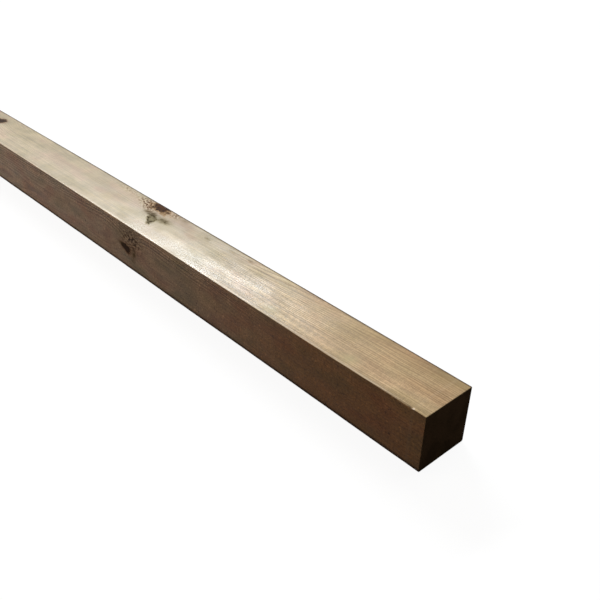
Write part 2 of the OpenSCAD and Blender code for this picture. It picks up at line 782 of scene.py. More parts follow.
        # Pale colour of bare wood at the tear, partly a painted glint, and a painted highlight along the
        # front upper arris
        colour = graph.mix(fresh_and_highlight, colour, self.fresh_and_highlight)
        rough = graph.ease(graph.noise(self.fibre), self.fibre_rough)
        rough = graph.plus(graph.eased(self.dullness), rough)
        rough = graph.sum("SUBTRACT", rough, graph.times(gloss, self.polish))
        matt = graph.most(graph.most(cover, specks), graph.most(edge, seep))
        rough = graph.blend(matt, rough, self.matt)
        graph.surface(colour, rough, self.specular, self.relief(graph, contrast, late))
        return material

    def latewood(self, graph: Graph, contrast: Socket) -> Socket:
        """Give 0 in the pale early wood of a ring and up to 1 in its dark late wood.

        Across a ring the tone climbs slowly and then drops at once, where the next spring starts.
        Where the rings hardly show, it nears its mean.

        Args:
            graph: the tree to wire.
            contrast: how plainly the rings show.

        Returns:
            The late wood's share.
        """
        ragged = graph.times(graph.noise(self.ring_edge), self.ring_wobble)
        phase = graph.sum("FRACT", graph.plus(graph.number("ring"), ragged))
        tone = graph.ramp(phase, [(place, grey(share)) for place, share in self.ring_tones])
        strength = graph.times(graph.eased(self.ring_strength), contrast)
        return graph.mix(strength, grey(self.ring_mean), tone)

    def tinted(self, graph: Graph, bleach: Socket, soak: Socket, late: Socket) -> Socket:
        """Colour the rings, pale, brown or red, and let the treatment drift between warm and olive.

        Args:
            graph: the tree to wire.
            bleach: share of the pale colours.
            soak: share of the red and golden colours.
            late: the late wood's share.

        Returns:
            The wood's colour.
        """
        bleach = graph.most(graph.plus(bleach, graph.eased(self.bleach_patch)), 0.0)
        tones = zip(astuple(self.brown), astuple(self.red), astuple(self.pale), astuple(self.golden))
        early, dark, warm, olive = (
            graph.mix(bleach, graph.mix(soak, brown, red), graph.mix(soak, pale, golden))
            for brown, red, pale, golden in tones
        )
        drift = graph.noise(self.drift)
        share = graph.ease(soak, self.drift_share)
        colour = graph.mix(graph.times(graph.ease(drift, self.warm_drift), share), early, warm)
        colour = graph.mix(graph.times(graph.ease(drift, self.olive_drift), share), colour, olive)
        return graph.mix(late, colour, dark)

    def lined(self, graph: Graph, colour: Socket, contrast: Socket) -> Socket:
        """Vary the colour's value.

        It varies along the fibres, in broken lines and their grit, which show where the rings do, in
        broader streaks, in blotches and in the saw's strokes.

        Args:
            graph: the tree to wire.
            colour: the wood's colour.
            contrast: how plainly the rings show.

        Returns:
            The varied colour.
        """
        lines = graph.times(graph.plus(graph.eased(self.comb), graph.eased(self.grit)), contrast)
        value = graph.times(graph.eased(self.fibre), graph.plus(lines, 1.0))
        for mottle in (self.streak, self.blotch, self.saw):
            value = graph.times(value, graph.eased(mottle))
        return graph.tint(colour, value)

    def scuffed(self, graph: Graph, colour: Socket, bleach: Socket) -> Socket:
        """Mottle the faces that kept their brown, and scatter small pale and dark nicks over them.

        Args:
            graph: the tree to wire.
            colour: the wood's colour.
            bleach: share of the pale colours, which show none of this.

        Returns:
            The mottled and nicked colour.
        """
        nicks = graph.noise(self.nicks)
        change = graph.plus(graph.ease(nicks, self.pale_nicks), graph.ease(nicks, self.dark_nicks))
        for mottle in (self.fine_mottle, self.broad_mottle):
            change = graph.plus(change, graph.eased(mottle))
        change = graph.times(change, graph.ease(bleach, self.on_brown))
        return graph.tint(colour, graph.plus(change, 1.0))

    def relief(self, graph: Graph, contrast: Socket, late: Socket) -> Socket:
        """Raise the late wood and the fibres a little, and score the faces with fine saw marks.

        Args:
            graph: the tree to wire.
            contrast: how plainly the rings show, which is also how far they stand up.
            late: the late wood's share.

        Returns:
            The bent normal.
        """
        rings, fibres, strokes = self.heights
        height = graph.times(late, rings)
        height = graph.plus(height, graph.times(graph.noise(self.fibre), fibres))
        height = graph.plus(height, graph.times(graph.noise(self.saw), strokes))
        return graph.bump(height, graph.ease(contrast, self.relief_strength), self.relief_depth)


@dataclass(frozen=True)
class EndGrain:
    """Finish of the two sawn ends: open grain that drank the treatment, so it is dark and matt.

    Attributes:
        early: early wood of a growth ring.
        late: its late wood.
        darkened: patches that drank the most.
        specular: strength of the sheen.
        ring_tones: how dark a ring is from its spring to its autumn, as (place, grey from 0 to 255).
        ring_height: height of the late wood beside that of the cut fibres.
        relief_strength: how strong the relief is.
        relief_depth: distance that the relief's heights stand for.
        fuzz_rough: roughness, by the cut fibres.
        fuzz: cut fibres.
        patches: where the patches lie.
    """

    early: tuple = shade(116, 90, 65)
    late: tuple = shade(71, 53, 38)
    darkened: tuple = shade(80, 63, 45)
    specular: float = 0.0
    ring_tones: tuple = ((0.0, 0), (0.5, 70), (0.85, 255), (1.0, 0))
    ring_height: float = 0.5
    relief_strength: float = 0.5
    relief_depth: float = 0.3 * MM
    fuzz_rough: Ease = Ease(0.2, 0.8, 0.86, 0.98)
    fuzz: Mottle = Mottle((900.0, 900.0, 900.0), 3.0, Ease(0.25, 0.75, 0.75, 1.2), 0.7)
    patches: Mottle = Mottle((40.0, 40.0, 40.0), 3.0, Ease(0.4, 0.65, 0.0, 0.6))

    def material(self) -> bpy.types.Material:
        """Wire the finish.

        Returns:
            The material.
        """
        material, graph = new_material("treated_end_grain")
        phase = graph.sum("FRACT", graph.number("ring"))
        late = graph.ramp(phase, [(place, shade(tone, tone, tone)) for place, tone in self.ring_tones])
        colour = graph.mix(late, self.early, self.late)
        colour = graph.mix(graph.eased(self.patches), colour, self.darkened)
        colour = graph.tint(colour, graph.eased(self.fuzz))
        fuzz = graph.noise(self.fuzz)
        height = graph.plus(graph.times(late, self.ring_height), fuzz)
        normal = graph.bump(height, self.relief_strength, self.relief_depth)
        graph.surface(colour, graph.ease(fuzz, self.fuzz_rough), self.specular, normal)
        return material


@dataclass(frozen=True)
class Blot:
    """An oval mark on a face, which fades outwards as a bell curve.

    Attributes:
        share: its strength in the middle.
        setback: distance of its middle from the near end, in metres.
        across: distance of its middle across the face, in millimetres, as the next two are.
        length: its half length along the grain.
        width: its half width across the grain.
    """

    share: float
    setback: float
    across: float
    length: float
    width: float

    def at(self, setback: np.ndarray, across: np.ndarray) -> np.ndarray:
        """Give the mark's strength at each place on its face."""
        away = (setback - self.setback) / (self.length * MM)
        aside = (across - self.across * MM) / (self.width * MM)
        return self.share * bell(np.hypot(away, aside), 1.0)


@dataclass(frozen=True)
class WearAndPaintedLight:
    """What the treatment, light and handling left on the wood, and the shade and highlights painted on
    it, as shares at every point.

    Blots on the upper face lie at a distance from the front face, and those on the front face at a
    height above the underside.

    Attributes:
        points: every point of the post.
        facing: the plain outline's normal at each point, as (y, z), or zeros inside an end.
        splinter: the sliver torn off the front upper arris.
        olives: olive stains on the upper face.
        torn: torn grain beside the knots of the upper face.
        front_torn: torn grain above the front face's knot.
        seeps: the dark seep round the grey knot, and specks along the back arris.
        front_seeps: dark streaks beside the front face's knot.
        shade_patches: patches of painted shade along the back of the upper face.
        onset: cosines of the turn from a face between which its blots come in.
        patch_edge: how the edge of the smooth patch wanders.
        shade_edge: how the edge of the painted shade wanders.
        most_seep: limit of the seep.
        most_shade: limit of the painted shade.
        most_contrast: limit of the rings' contrast.
    """

    points: np.ndarray
    facing: np.ndarray
    splinter: Splinter
    olives: tuple[Blot, ...] = (
        Blot(1.00, 0.250, 12.0, 11.0, 7.0),
        Blot(0.70, 0.118, 12.0, 9.0, 9.0),
        Blot(0.50, 0.514, 42.0, 22.0, 8.0),
    )
    torn: tuple[Blot, ...] = (
        Blot(1.10, 0.590, 64.0, 22.0, 9.0),
        Blot(0.80, 0.574, 54.0, 14.0, 7.0),
        Blot(0.80, 0.552, 64.0, 12.0, 6.0),
        Blot(0.70, 0.527, 69.0, 11.0, 6.0),
        Blot(0.50, 0.650, 67.0, 20.0, 6.0),
    )
    front_torn: tuple[Blot, ...] = (Blot(1.10, 0.542, 52.0, 28.0, 16.0),)
    seeps: tuple[Blot, ...] = (
        Blot(1.00, 0.556, 46.0, 10.0, 5.0),
        Blot(0.65, 0.525, 44.0, 13.0, 4.5),
        Blot(0.75, 0.536, 29.0, 5.0, 3.4),
        Blot(0.45, 0.568, 46.0, 8.0, 3.6),
        Blot(0.45, 0.384, 64.0, 5.0, 2.2),
        Blot(0.45, 0.441, 61.0, 4.0, 2.2),
        Blot(0.40, 0.352, 66.0, 4.0, 2.4),
        Blot(0.35, 0.505, 69.0, 9.0, 3.0),
        Blot(0.22, 0.542, 45.0, 26.0, 8.0),
        Blot(0.35, 0.522, 48.0, 12.0, 5.0),
    )
    front_seeps: tuple[Blot, ...] = (
        Blot(0.80, 0.573, 36.5, 6.0, 3.4),
        Blot(1.30, 0.537, 34.0, 4.0, 7.0),
        Blot(0.45, 0.541, 22.0, 5.0, 8.0),
    )
    shade_patches: tuple[Blot, ...] = (
        Blot(0.42, 0.235, 66.0, 50.0, 16.0),
        Blot(0.30, 0.450, 66.0, 30.0, 16.0),
        Blot(0.45, 0.650, 66.0, 50.0, 16.0),
    )
    onset: tuple[float, float] = (0.6, 0.9)
    patch_edge: Wander = Wander(31, 4 * MM, 0.11)
    shade_edge: Wander = Wander(33, 8 * MM, 0.16)
    most_seep: float = 0.95
    most_shade: float = 1.35
    most_contrast: float = 1.75

    @property
    def setback(self) -> np.ndarray:
        """Give each point's distance from the near end."""
        return NEAR_END - self.points[:, 0]

    @property
    def from_front(self) -> np.ndarray:
        """Give each point's distance from the front face."""
        return self.points[:, 1] + HALF

    def laid(self, blots: tuple[Blot, ...], across: np.ndarray) -> np.ndarray:
        """Add up blots at every point, given its distance across their face."""
        return sum(blot.at(self.setback, across) for blot in blots)

    def above(self, blots: tuple[Blot, ...]) -> np.ndarray:
        """Add up blots of the upper face, and keep them to it."""
        return self.laid(blots, self.from_front) * smooth(self.facing[:, 1], *self.onset)

    def ahead(self, blots: tuple[Blot, ...]) -> np.ndarray:
        """Add up blots of the front face, and keep them to it."""
        return self.laid(blots, self.points[:, 2]) * smooth(-self.facing[:, 0], *self.onset)

    def on_arris(self, breadth: float) -> np.ndarray:
        """Give 1 where the normal runs along the front upper arris's bisector, falling as it turns away.

        Args:
            breadth: how far the cosine of the turn falls before the mark is down to about a third.

        Returns:
            The mark at each point, from 0 to 1.
        """
        return bell(self.facing @ FRONT_BISECTOR - 1.0, breadth)

    def marks(self) -> np.ndarray:
        """Place the stains, the torn grain beside the knots, the bare wood and the painted highlights.

        At the lip of the tear's step lies the pale colour of bare wood, which also paints a glint there.
        The same colour paints a highlight along the front upper arris, more towards the knots, and
        thinly on the edge of the upper face behind it, but not at the near end.

        Returns:
            Olive stain, torn grain, and bare wood with painted highlights at each point, from 0 to 1.
        """
        setback, from_front = self.setback, self.from_front
        upper = smooth(self.facing[:, 1], *self.onset)
        olive = np.minimum(self.above(self.olives), 1.0)
        flecks = np.minimum(self.above(self.torn) + self.ahead(self.front_torn), 1.0)
        # Bare wood at the lip of the tear's step, pale enough to paint a glint there
        lip = smooth(from_front, 1.8 * MM, 0.8 * MM) * upper
        fresh_and_highlight = np.maximum(self.on_arris(0.16), lip)
        fresh_and_highlight = fresh_and_highlight * bell(setback - self.splinter.from_end + 0.5 * MM, 1.5 * MM)
        # Painted highlight along the front upper arris and the front edge of the upper face, weak near
        # the end and strong beyond 0.4 m
        share = 0.12 + 0.78 * smooth(setback, 0.18, 0.42)
        rim = 0.22 * smooth(from_front, 4.0 * MM, 1.0 * MM) * upper
        arris_highlight = np.maximum(share * self.on_arris(0.14), rim) * smooth(setback, 0.0, 50.0 * MM)
        return np.stack([olive, flecks, np.maximum(fresh_and_highlight, arris_highlight)], -1)

    def seep(self) -> np.ndarray:
        """Place the dark seep at each point, from 0 to 1, on the upper face and the front."""
        return np.minimum(self.above(self.seeps) + self.ahead(self.front_seeps), self.most_seep)

    def film_and_shade(self) -> np.ndarray:
        """Give what lies on the wood and in it, and where shade is painted on the upper face.

        The upper face is rubbed smooth along its front up to the knots, less so at the near end. The
        smooth patch's edge lies two thirds of the way across at the near end and one third at the
        knots, and the front arris is smooth all along. The ends drank the treatment, less and less
        over the first 0.4 m. Painted shade darkens the back half of the upper face beyond the near third
        of a metre. It also lies in patches along its back, thinly at the near end, and thinly all across
        it beyond the knots.

        Returns:
            Smooth share, share that drank more treatment and share of painted shade at each point. The
            last may pass 1.
        """
        setback, from_front = self.setback, self.from_front
        reach = 26 * MM + 26 * MM * smooth(setback, 0.42, 0.28) + self.patch_edge.at(setback)
        patch = smooth(from_front - reach, 12 * MM, -12 * MM) * smooth(setback, 0.585, 0.545)
        patch = patch * (0.55 + 0.45 * smooth(setback, 0.24, 0.40))
        rubbed = smooth(from_front, 5 * MM, 2.5 * MM)
        upper = smooth(self.facing[:, 1], 0.3, 0.6)
        soak = smooth(setback, 0.42, 0.14) + smooth(setback, LENGTH - 0.42, LENGTH - 0.14)
        # Painted shade over the back half of the upper face, in patches along its back, and thinly beyond
        # the knots
        edge = 46 * MM + self.shade_edge.at(setback)
        painted_shade = smooth(from_front - edge, -20 * MM, 16 * MM) * smooth(setback, 0.28, 0.44)
        near = 0.35 * smooth(from_front, 18 * MM, 36 * MM) * smooth(setback, 0.17, 0.09)
        beyond = 0.38 * smooth(setback, 0.57, 0.64)
        painted_shade = np.minimum(painted_shade + near + self.laid(self.shade_patches, from_front) + beyond, self.most_shade)
        return np.stack([np.maximum(patch, rubbed) * upper, soak, painted_shade * upper], -1)

    def wear(self) -> np.ndarray:
        """Give what light and handling did to each face, and where shade is painted along its edges.

        The upper face is bleached, a little less along its back at the near end, and the front is
        bleached a touch under its upper arris. Beyond about 0.2 m from the near end the pale colours wrap
        further round the upper arrises, which also paints part of the highlight along the front one. The
        upper face's rings show most about 0.3 m in, least at the knots, and less along the back. The
        front's show most under its upper arris, beyond the near third of a metre. Painted shade darkens
        the back upper arris and the foot of both sides, and a spot on the floor of the tear is darkened
        too.

        Returns:
            Bleached share, contrast of the rings, which may pass 1, and share of the painted shade and
            the dark spot at each point.
        """
        setback = self.setback
        y, z = self.points[:, 1], self.points[:, 2]
        out, rise = self.facing[:, 0], self.facing[:, 1]
        # Beyond about 0.2 m from the near end the pale colours wrap further round the upper arrises:
        # bleaching, and partly a painted highlight along the front one
        upper = smooth(rise + 0.2 * smooth(setback, 0.22, 0.45), 0.20, 0.55)
        front = smooth(-out, 0.3, 0.8)
        far = 0.4 * smooth(setback, 0.75, 0.95)
        on_top = 0.25 + 0.75 * smooth(setback, 0.52, 0.36) + far
        on_top = on_top + 0.5 * bell(setback - 0.29, 80 * MM) - 0.35 * smooth(setback, 0.24, 0.12)
        on_top = on_top * (1.0 - 0.4 * smooth(y, 6 * MM, 22 * MM))
        under_arris = smooth(z, 46 * MM, 68 * MM) * smooth(setback, 0.20, 0.40)
        on_front = 0.25 + 1.5 * under_arris + far
        contrast = upper * on_top + front * on_front + 0.6 * np.clip(1.0 - upper - front, 0.0, 1.0)
        golden = 0.12 * smooth(y, 4 * MM, 20 * MM) * smooth(setback, 0.20, 0.12)
        bleach = np.maximum(upper - golden, 0.12 * under_arris * front)
        # Painted shade along the back upper arris and at the foot of both sides, and a darkened spot on
        # the floor of the tear
        edge = 0.9 * smooth(y, HALF - 3.2 * MM, HALF - 1.4 * MM) * smooth(rise, 0.2, 0.6)
        notch = self.on_arris(0.11) * bell(setback - self.splinter.from_end - 4.0 * MM, 2.4 * MM)
        foot = 0.9 * smooth(z, 7.0 * MM, 3.0 * MM) * smooth(np.abs(out), 0.3, 0.8)
        edge = np.maximum(np.maximum(edge, notch), foot)
        return np.stack([bleach, np.minimum(contrast, self.most_contrast), edge], -1)


@dataclass
class SawnPost:
    """The post's surface: the eased square carried along the length, and the two sawn ends.

    Attributes:
        log: the stem it was sawn from.
        splinter: the sliver torn off its front upper arris.
        crown: how the upper face falls away from its ridge.
        arris: mean radius of the eased arrises.
        crisp_arris: mean radius of the two upper ones, which kept more of their edge.
        arris_wear: how much a radius wanders, as a share of its mean.
        end_ease: width of the bevel that handling leaves round a sawn end.
        knot_stand: how far a knot stands above the wood round it.
        wave_depth: depth of the slow waves in the faces.
        wave_length: length of those waves along the post.
        cross_length: their length across it.
        ring_sink: how far the early wood of an end lies below its late wood.
        stroke_depth: half the depth of the saw's strokes on an end.
        stroke_pitch: distance between those strokes.
        stroke_slant: slope of those strokes.
        crease: turn in degrees past which an edge is drawn sharp.
        side_steps: grid steps along one side of the section, from arris to arris.
        arc_steps: how many of those steps turn each half arris.
        stations: sections along the length.
        strips: equal lengths that each long face is cut into, where it is laid out flat.
        strip_gap: empty border round each of those strips.
    """

    log: Log = Log()
    splinter: Splinter = Splinter()
    crown: Crown = Crown()
    arris: float = 2.0 * MM
    crisp_arris: float = 0.8 * MM
    arris_wear: float = 0.35
    end_ease: float = 0.4 * MM
    knot_stand: float = 0.10 * MM
    wave_depth: float = 0.07 * MM
    wave_length: float = 0.062
    cross_length: float = 0.05
    ring_sink: float = 0.10 * MM
    stroke_depth: float = 0.06 * MM
    stroke_pitch: float = 3.4 * MM
    stroke_slant: float = 0.18
    crease: float = 32.0
    side_steps: int = 60
    arc_steps: int = 4
    stations: int = 360
    strips: int = 5
    strip_gap: float = 10.0 * MM

    def places(self) -> np.ndarray:
        """Spread the sections along the post.

        Each gap takes an equal share of a density that is high at the ends, the splinter and the
        whorls and low between them, so the running sum of the density is cut into equal parts.

        Returns:
            The sections' setbacks from the near end, falling, so that x rises.
        """
        fine = np.linspace(0.0, LENGTH, 6001)
        crowd = bell(fine, 70 * MM) + 0.6 * bell(fine - LENGTH, 20 * MM)
        crowd = crowd + sum(bell(fine - whorl, 50 * MM) for whorl in self.log.whorls)
        density = 1.0 + 4.0 * np.minimum(crowd, 1.0)
        run = np.concatenate([[0.0], np.cumsum((density[1:] + density[:-1]) / 2)])
        inner = np.interp(np.linspace(0.0, run[-1], self.stations - 2), run, fine)
        inner = self.end_ease + inner * (LENGTH - 2 * self.end_ease) / LENGTH
        return np.concatenate([[0.0], inner, [LENGTH]])[::-1]

    def outline(self, setback: np.ndarray) -> tuple[np.ndarray, np.ndarray]:
        """Draw the eased square at every section.

        Side k faces k quarter turns from +Y, and its points run from the middle of one arris to the
        middle of the next: an eighth of a turn of arc, the flat, and an eighth of a turn of the other
        arc. An arc's angle is held at zero outside its own steps, so one sum gives all three parts.

        Args:
            setback: the sections' setbacks.

        Returns:
            The points, as sections by outline by (y, z), with z from the underside, and the outward
            normals in the same shape.
        """
        steps, arc = self.side_steps, self.arc_steps
        step = np.arange(steps)
        first = np.radians(45.0) * np.clip(1.0 - step / arc, 0.0, 1.0)
        last = np.radians(45.0) * np.clip((step - steps + arc) / arc, 0.0, 1.0)
        flat = np.clip((step - arc) / (steps - 2 * arc), 0.0, 1.0)
        radii = (self.arris, self.crisp_arris, self.crisp_arris, self.arris)
        wear = [
            radius * (1.0 + Wander(40 + side, self.arris_wear, 0.5, 6).at(setback))
            for side, radius in enumerate(radii)
        ]
        points, normals = [], []
        for side in range(4):
            before = wear[side][:, None]
            after = wear[(side + 1) % 4][:, None]
            along = (HALF - after) * flat - (HALF - before) * (1.0 - flat)
            along = along + after * np.sin(last) - before * np.sin(first)
            out = HALF - before * (1.0 - np.cos(first)) - after * (1.0 - np.cos(last))
            lean = np.broadcast_to(last - first, out.shape)
            turn = side * math.pi / 2
            cos, sin = math.cos(turn), math.sin(turn)
            points.append(np.stack([out * cos - along * sin, out * sin + along * cos + HALF], -1))
            normals.append(np.stack([np.cos(lean + turn), np.sin(lean + turn)], -1))
        return np.concatenate(points, 1), np.concatenate(normals, 1)

    def shell(self) -> tuple[np.ndarray, np.ndarray]:
        """Carry the outline along the post and wear it.

        Relief only goes inwards, along the outline's normal: knots stand a little above the wood
        round them, and slow waves run through it all. The crown then presses each point down by its
        height's share of the drop above it, so the underside stays. Then the splinter's floor, a
        plane square to the arris's bisector, cuts off what stands above it, and the first and last
        sections are drawn in to ease the ends.

        Returns:
            The points, as sections by outline by (x, y, z), and the plain outline's normals.
        """
        setback = self.places()
        flat, normal = self.outline(setback)
        x = np.broadcast_to((NEAR_END - setback)[:, None, None], flat.shape[:2] + (1,))
        grain = self.log.sample(np.concatenate([x, flat], -1))
        depth = self.knot_stand * smooth(grain.knot, 0.7, 1.6)
        wave = 0.5 + 0.5 * np.sin(math.tau * setback / self.wave_length + Wander(9, 2.5, 0.4).at(setback))
        shift = Wander(12, 3.0, 0.3).at(setback)[:, None]
        cross = np.sin(math.tau * flat.sum(-1) / self.cross_length + shift)
        depth = depth + self.wave_depth * wave[:, None] * (1.0 + cross) / 2.0
        flat = flat - normal * depth[..., None]
        drop = self.crown.drop(setback[:, None], flat[..., 0] + HALF)
        flat[..., 1] *= 1.0 - drop / SIDE
        flat = self.torn(setback, flat)
        ease = np.zeros(len(setback))
        ease[[0, -1]] = self.end_ease
        middle = np.array([0.0, HALF])
        flat = middle + (flat - middle) * (1.0 - ease / HALF)[:, None, None]
        return np.concatenate([x, flat], -1), normal

    def torn(self, setback: np.ndarray, flat: np.ndarray) -> np.ndarray:
        """Press the front upper arris down to the floor of the tear.

        A point's height along the arris's bisector is limited to the arris less the tear's depth,
        roughened a little along the fibres.

        Args:
            setback: the sections' setbacks.
            flat: points as sections by outline by (y, z).

        Returns:
            The points after the tear.
        """
        corner = np.array([-HALF, SIDE])
        height = (flat - corner) @ FRONT_BISECTOR
        arris = -self.arris * (math.sqrt(2.0) - 1.0)
        depth = self.splinter.depth_at(setback)
        rough = self.splinter.fibre.at(setback) * (depth > self.splinter.fibre_depth)
        limit = np.where(depth > 0.0, arris - depth + rough, 1.0)[:, None]
        over = np.maximum(height - limit, 0.0)
        return flat - over[..., None] * FRONT_BISECTOR

    def end_grid(self, rim: np.ndarray) -> np.ndarray:
        """Fill an end with a square grid hung between the four sides of its rim.

        The grid is the blend across one way plus the blend across the other, less the blend of the
        four corners. Row i runs up the back side and column j runs from the back to the front.

        Args:
            rim: the end section's points, as outline by (x, y, z).

        Returns:
            The grid of points, as rows by columns by (x, y, z).
        """
        count = self.side_steps
        loop = np.concatenate([rim, rim[:1]])
        back, top = loop[: count + 1], loop[count:2 * count + 1]
        front, under = loop[2 * count:3 * count + 1][::-1], loop[3 * count:][::-1]
        up = np.linspace(0.0, 1.0, count + 1)[:, None, None]
        over = np.linspace(0.0, 1.0, count + 1)[None, :, None]
        sides = (1.0 - over) * back[:, None] + over * front[:, None]
        ends = (1.0 - up) * under[None] + up * top[None]
        corners = (1.0 - up) * ((1.0 - over) * under[0] + over * under[-1])
        corners = corners + up * ((1.0 - over) * top[0] + over * top[-1])
        return sides + ends - corners

    def end_numbers(self, start: int, first_new: int) -> np.ndarray:
        """Number an end's grid: its border takes the rim's numbers and its inside takes new ones.

        Args:
            start: number of the rim's first point.
            first_new: number of the first new point.

        Returns:
            The numbers, as rows by columns.
        """
        count = self.side_steps
        numbers = np.zeros((count + 1, count + 1), int)
        numbers[1:-1, 1:-1] = first_new + np.arange((count - 1) ** 2).reshape(count - 1, -1)
        step = np.arange(count + 1)
        numbers[:, 0] = start + step
        numbers[-1, :] = start + count + step
        numbers[:, -1] = start + 3 * count - step
        numbers[0, :] = start + (4 * count - step) % (4 * count)
        return numbers

    def end_relief(self, grid: np.ndarray, inward: float) -> np.ndarray:
        """Sink the end's early wood below its late wood, and score it with the saw's straight strokes.

        Args:
            grid: the end's points.
            inward: the way into the wood along x, as 1 or -1.

        Returns:
            The points after relief. The border stays.
        """
        ring = self.log.sample(grid).ring
        across = grid[..., 2] + self.stroke_slant * grid[..., 1]
        strokes = np.sin(math.tau * across / self.stroke_pitch)
        depth = self.ring_sink * (0.5 - 0.5 * np.cos(math.tau * ring))
        depth = depth + self.stroke_depth * (1.0 + strokes)
        depth[[0, -1], :] = 0.0
        depth[:, [0, -1]] = 0.0
        grid = grid.copy()
        grid[..., 0] += inward * depth
        return grid

    def build(self) -> bpy.types.Object:
        """Make the post's mesh: the shell's quads, then each end's quads.

        Returns:
            The object, at the origin, with its rings, knots and stains as attributes.
        """
        shell, normal = self.shell()
        sections, around = shell.shape[:2]
        numbers = np.arange(sections * around).reshape(sections, around)
        following = np.roll(numbers, -1, 1)
        sweep = np.stack([numbers[:-1], following[:-1], following[1:], numbers[1:]], -1).reshape(-1, 4)
        vertices, faces = [shell.reshape(-1, 3)], [sweep]
        count = sections * around
        for section, inward in ((0, 1.0), (sections - 1, -1.0)):
            grid = self.end_relief(self.end_grid(shell[section]), inward)
            ids = self.end_numbers(section * around, count)
            quads = np.stack([ids[:-1, :-1], ids[1:, :-1], ids[1:, 1:], ids[:-1, 1:]], -1).reshape(-1, 4)
            faces.append(quads if inward < 0.0 else quads[:, ::-1])
            inside = grid[1:-1, 1:-1].reshape(-1, 3)
            vertices.append(inside)
            count += len(inside)
        points = np.concatenate(vertices)
        facing = np.zeros((count, 2))
        facing[: sections * around] = normal.reshape(-1, 2)
        quads = np.concatenate(faces)
        cuts = np.repeat([Cut.LONG.value, Cut.END.value], [len(sweep), len(quads) - len(sweep)])
        return self.mesh_object(points, facing, quads, cuts)

    def mesh_object(self, points: np.ndarray, facing: np.ndarray, quads: np.ndarray,
                    cuts: np.ndarray) -> bpy.types.Object:
        """Put points and quads into a mesh, with the grain and the wear as attributes of its points.

        Args:
            points: every point.
            facing: the plain outline's normal at each point, as (y, z), or zeros inside an end.
            quads: every face, as four point numbers.
            cuts: each face's cut, as a material index.

        Returns:
            The object.
        """
        mesh = bpy.data.meshes.new("sawn_post")
        mesh.vertices.add(len(points))
        mesh.vertices.foreach_set("co", points.astype(np.float32).ravel())
        mesh.loops.add(quads.size)
        mesh.loops.foreach_set("vertex_index", quads.astype(np.int32).ravel())
        mesh.polygons.add(len(quads))
        mesh.polygons.foreach_set("loop_start", np.arange(0, quads.size, 4, dtype=np.int32))
        mesh.polygons.foreach_set("material_index", cuts.astype(np.int32))
        mesh.update(calc_edges=True)
        mesh.validate()
        mesh.shade_smooth()
        mesh.set_sharp_from_angle(angle=math.radians(self.crease))
        flat = mesh.uv_layers.new(name=BAKE_MAP)
        flat.uv.foreach_set("vector", self.laid_out(points, quads, cuts).astype(np.float32).ravel())
        grain = self.log.sample(points)
        wood = WearAndPaintedLight(points, facing, self.splinter)
        numbers = {"ring": grain.ring, "knot": grain.knot, "tone": grain.tone, "seep": wood.seep()}
        for name, values in numbers.items():
            attribute = mesh.attributes.new(name, "FLOAT", "POINT")
            attribute.data.foreach_set("value", values.astype(np.float32))
        fields = {"marks": wood.marks(), "wear": wood.wear(), "film_and_shade": wood.film_and_shade()}
        for name, values in fields.items():
            attribute = mesh.attributes.new(name, "FLOAT_VECTOR", "POINT")
            attribute.data.foreach_set("vector", values.astype(np.float32).ravel())
        post = bpy.data.objects.new("sawn_post", mesh)
        bpy.context.scene.collection.objects.link(post)
        return post

    def laid_out(self, points: np.ndarray, quads: np.ndarray, cuts: np.ndarray) -> np.ndarray:
        """Lay every face out flat in one square, so that a texture of the post wastes little room.

        Each long face is cut into equal strips, which lie in rows of two, a face's strips one after
        another. The two ends lie in the row above them. All have one scale, and none is mirrored.

        Args:
            points: every point.
            quads: every face, as four point numbers, with the long faces first.
            cuts: each face's cut, as a material index.

        Returns:
            Each face's four corners, as faces by corners by (u, v).
        """
        x, y, z = np.moveaxis(points[quads], -1, 0)
        side = (np.arange(len(quads)) % (4 * self.side_steps)) // self.side_steps
        strip = LENGTH / self.strips
        setback = NEAR_END - x
        order = np.clip(setback.mean(1) // strip, 0, self.strips - 1)
        across = np.choose(side[:, None], (z, HALF - y, SIDE - z, HALF + y))
        slot = side * self.strips + order
        wide, tall = strip + 2 * self.strip_gap, SIDE + self.strip_gap
        u = setback - order[:, None] * strip + self.strip_gap + (slot % 2 * wide)[:, None]
        v = across + (slot // 2 * tall)[:, None]
        far = x.mean(1) < 0.0
        end = (cuts == Cut.END.value)[:, None]
        u = np.where(end, np.where(far[:, None], HALF - y + tall, HALF + y) + self.strip_gap, u)
        v = np.where(end, z + 2 * self.strips * tall, v)
        whole = (2 * self.strips + 1) * tall
        return np.stack([u, v + self.strip_gap / 2], -1) / whole

    def dress(self, post: bpy.types.Object) -> None:
        """Give the faces and the ends their finishes, in the order of the cuts."""
        finishes = {Cut.LONG: LongGrain(), Cut.END: EndGrain()}
        for cut in Cut:
            post.data.materials.append(finishes[cut].material())
        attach(post, "root")
        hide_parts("post")


def stood(place: tuple[float, float, float], right: np.ndarray, up: np.ndarray,
          back: np.ndarray) -> Matrix:
    """Give the matrix of a thing that stands at a place, by where its three axes point."""
    turn = np.stack([right, up, back], 1)
    return Matrix.Translation(place) @ Matrix(turn.tolist()).to_4x4()


